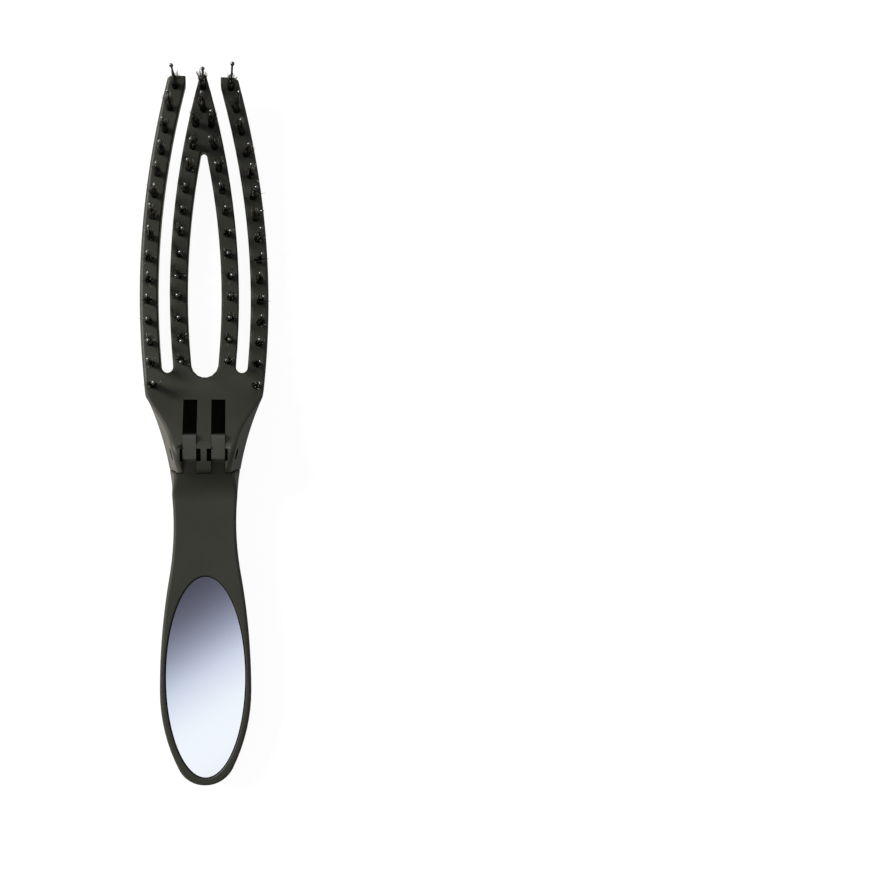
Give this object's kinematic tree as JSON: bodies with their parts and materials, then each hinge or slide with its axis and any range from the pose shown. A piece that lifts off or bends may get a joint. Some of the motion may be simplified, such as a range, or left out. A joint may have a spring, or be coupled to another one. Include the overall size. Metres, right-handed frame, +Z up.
{
  "type": "folding hairbrush",
  "caption": "Handbag hairbrush whose mirrored handle folds over a vented head set with boar tufts and ball-tipped nylon pins.",
  "frame": {"origin": "middle of the open brush's bounding box, on the surface it lies on", "axes": "+Y from the handle's end to the head's tip, +Z up from the surface, the way the bristles and the mirror face, +X to the right seen from above"},
  "size_m": [0.038, 0.2089, 0.0292],
  "materials": {
    "head_plastic": "soft-touch matte moulding",
    "handle_plastic": "soft-touch matte moulding",
    "inlay_plastic": "matte moulding",
    "pin_steel": "blackened steel",
    "mirror": "silvered glass",
    "adhesive": "foam adhesive",
    "boar_bristle": "natural bristle",
    "nylon": "satin nylon",
    "staple_wire": "drawn wire"
  },
  "bodies": {
    "head": {"head_frame": "head_plastic", "hinge_pin": "pin_steel", "tufts_outer_left": "boar_bristle", "tufts_inner_left": "boar_bristle", "tufts_inner_right": "boar_bristle", "tufts_outer_right": "boar_bristle", "tuft_tip": "boar_bristle", "pins_outer_left": "nylon", "pins_inner_left": "nylon", "pins_inner_right": "nylon", "pins_outer_right": "nylon", "pin_tip": "nylon", "staples_outer_left": "staple_wire", "staples_inner_left": "staple_wire", "staples_inner_right": "staple_wire", "staples_outer_right": "staple_wire", "staple_tip": "staple_wire"},
    "handle": {"handle_body": "handle_plastic", "mirror_glass": "mirror", "mirror_adhesive": "adhesive", "back_inlay": "inlay_plastic"}
  },
  "joints": [
    {"name": "fold", "type": "hinge", "parent": "head", "child": "handle", "pos_m": [0, -0.00602, 0.02035], "axis": [-1, 0, 0], "range_deg": [0, 180]}
  ]
}
